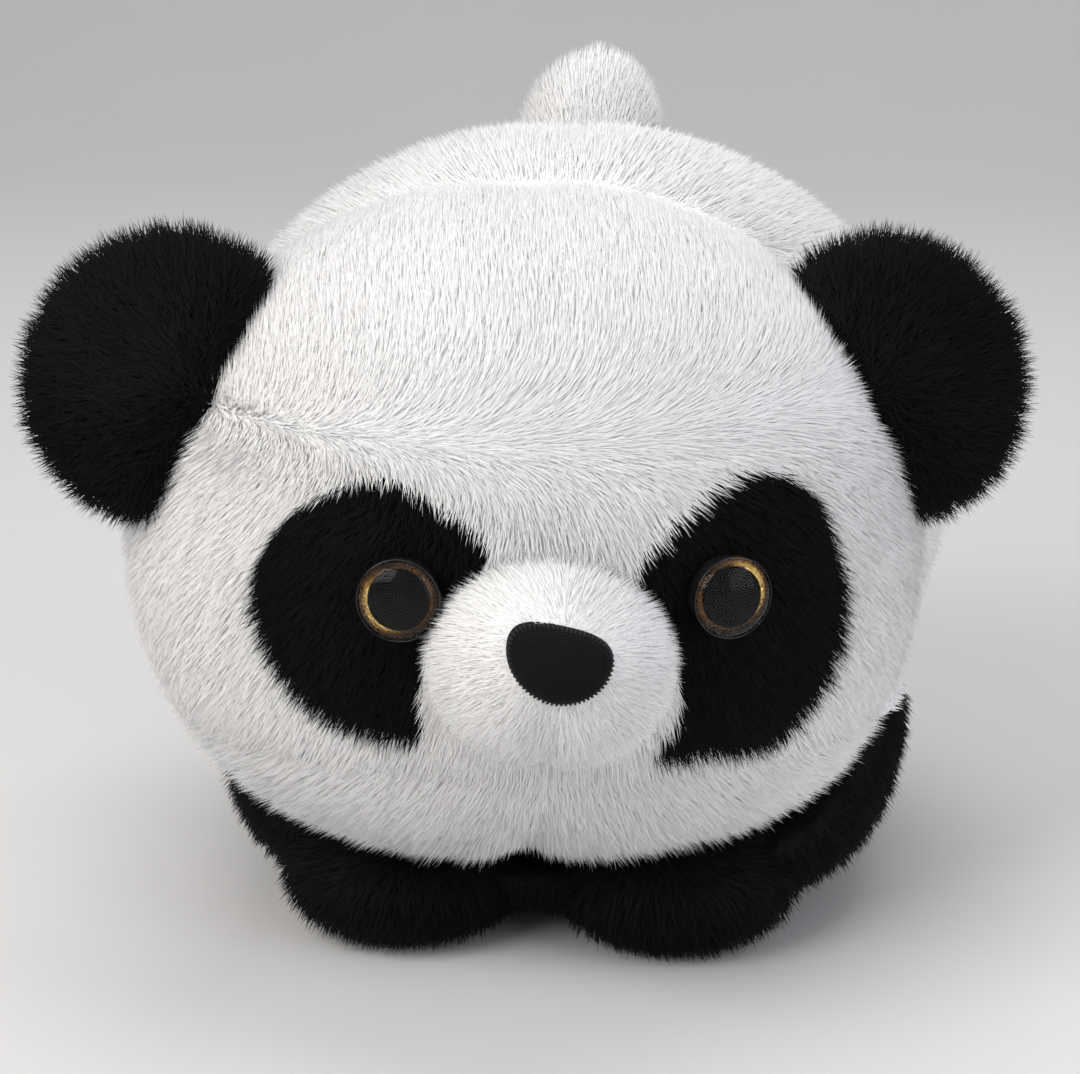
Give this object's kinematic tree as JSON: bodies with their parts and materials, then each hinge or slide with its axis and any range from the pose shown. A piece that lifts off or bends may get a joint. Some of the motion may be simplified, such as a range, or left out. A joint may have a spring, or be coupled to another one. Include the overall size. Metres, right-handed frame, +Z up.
{
  "type": "plush panda",
  "caption": "Round stuffed panda with a ball head, ball body, soft ears, upright tail and stub legs, made of sewn plush panels; head, ears, tail and legs bend.",
  "frame": {"origin": "middle of the footprint box, on the surface the toy stands on", "axes": "+Z up, the toy faces -Y, its own left side is +X; the body lies along Y"},
  "size_m": [0.2512, 0.2984, 0.2155],
  "materials": {
    "white_plush": "short soft white pile on a knitted backing",
    "black_plush": "short soft black pile on a knitted backing",
    "nose_knit": "fine black knit, slightly shiny",
    "filling": "white polyester fibre",
    "eye_dome": "clear polished acrylic",
    "eye_glitter": "gold glitter under the dome",
    "eye_black": "polished black",
    "washer": "plain moulded"
  },
  "bodies": {
    "body": {"back_panel_left": "white_plush", "back_panel_right": "white_plush", "chest_panel": "black_plush", "belly_panel": "black_plush", "body_stuffing": "filling"},
    "neck": {"neck_stuffing": "filling"},
    "head": {"forehead_panel": "white_plush", "cheek_left": "white_plush", "cheek_right": "white_plush", "chin_left": "white_plush", "chin_right": "white_plush", "eye_patch_left": "black_plush", "eye_patch_right": "black_plush", "head_stuffing": "filling", "muzzle_left": "white_plush", "muzzle_right": "white_plush", "muzzle_stuffing": "filling", "nose_cover": "nose_knit", "nose_pad": "filling", "eye_stem_left": "eye_black", "eye_iris_left": "eye_glitter", "eye_pupil_left": "eye_black", "eye_lens_left": "eye_dome", "eye_washer_left": "washer", "eye_stem_right": "eye_black", "eye_iris_right": "eye_glitter", "eye_pupil_right": "eye_black", "eye_lens_right": "eye_dome", "eye_washer_right": "washer"},
    "ear_left": {"ear_front_left": "black_plush", "ear_back_left": "black_plush", "ear_stuffing_left": "filling"},
    "ear_right": {"ear_front_right": "black_plush", "ear_back_right": "black_plush", "ear_stuffing_right": "filling"},
    "tail": {"tail_left": "white_plush", "tail_right": "white_plush", "tail_stuffing": "filling"},
    "front_leg_left": {"front_leg_left": "black_plush", "front_sole_left": "black_plush", "front_leg_left_stuffing": "filling"},
    "rear_leg_left": {"rear_leg_left": "black_plush", "rear_sole_left": "black_plush", "rear_leg_left_stuffing": "filling"},
    "front_leg_right": {"front_leg_right": "black_plush", "front_sole_right": "black_plush", "front_leg_right_stuffing": "filling"},
    "rear_leg_right": {"rear_leg_right": "black_plush", "rear_sole_right": "black_plush", "rear_leg_right_stuffing": "filling"}
  },
  "joints": [
    {"name": "head_turn", "type": "hinge", "parent": "body", "child": "neck", "pos_m": [-0.00267, -0.03622, 0.113], "axis": [0, 0, 1], "range_deg": [-26, 2], "stiffness_Nm_per_rad": 1.2},
    {"name": "head_nod", "type": "hinge", "parent": "neck", "child": "head", "pos_m": [-0.00267, -0.03622, 0.113], "axis": [0.9778, 0.2078, -0.0262], "range_deg": [-8, 8], "stiffness_Nm_per_rad": 1.5},
    {"name": "ear_bend_left", "type": "hinge", "parent": "head", "child": "ear_left", "pos_m": [0.09095, -0.03166, 0.15109], "axis": [-0.4523, 0.1217, 0.8835], "range_deg": [-45, 20], "stiffness_Nm_per_rad": 0.05},
    {"name": "ear_bend_right", "type": "hinge", "parent": "head", "child": "ear_right", "pos_m": [-0.08799, -0.06969, 0.15588], "axis": [0.4084, 0.3046, 0.8605], "range_deg": [-20, 45], "stiffness_Nm_per_rad": 0.05},
    {"name": "tail_bend", "type": "hinge", "parent": "body", "child": "tail", "pos_m": [0.00033, 0.12078, 0.176], "axis": [1, 0, 0], "range_deg": [-50, 20], "stiffness_Nm_per_rad": 0.05},
    {"name": "front_leg_bend_left", "type": "hinge", "parent": "body", "child": "front_leg_left", "pos_m": [0.03933, -0.00622, 0.017], "axis": [1, 0, 0], "range_deg": [0, 25], "stiffness_Nm_per_rad": 0.4},
    {"name": "rear_leg_bend_left", "type": "hinge", "parent": "body", "child": "rear_leg_left", "pos_m": [0.04733, 0.09978, 0.03], "axis": [1, 0, 0], "range_deg": [-12, 12], "stiffness_Nm_per_rad": 0.6},
    {"name": "front_leg_bend_right", "type": "hinge", "parent": "body", "child": "front_leg_right", "pos_m": [-0.03667, -0.00622, 0.017], "axis": [1, 0, 0], "range_deg": [0, 25], "stiffness_Nm_per_rad": 0.4},
    {"name": "rear_leg_bend_right", "type": "hinge", "parent": "body", "child": "rear_leg_right", "pos_m": [-0.04467, 0.09978, 0.03], "axis": [1, 0, 0], "range_deg": [-12, 12], "stiffness_Nm_per_rad": 0.6}
  ]
}
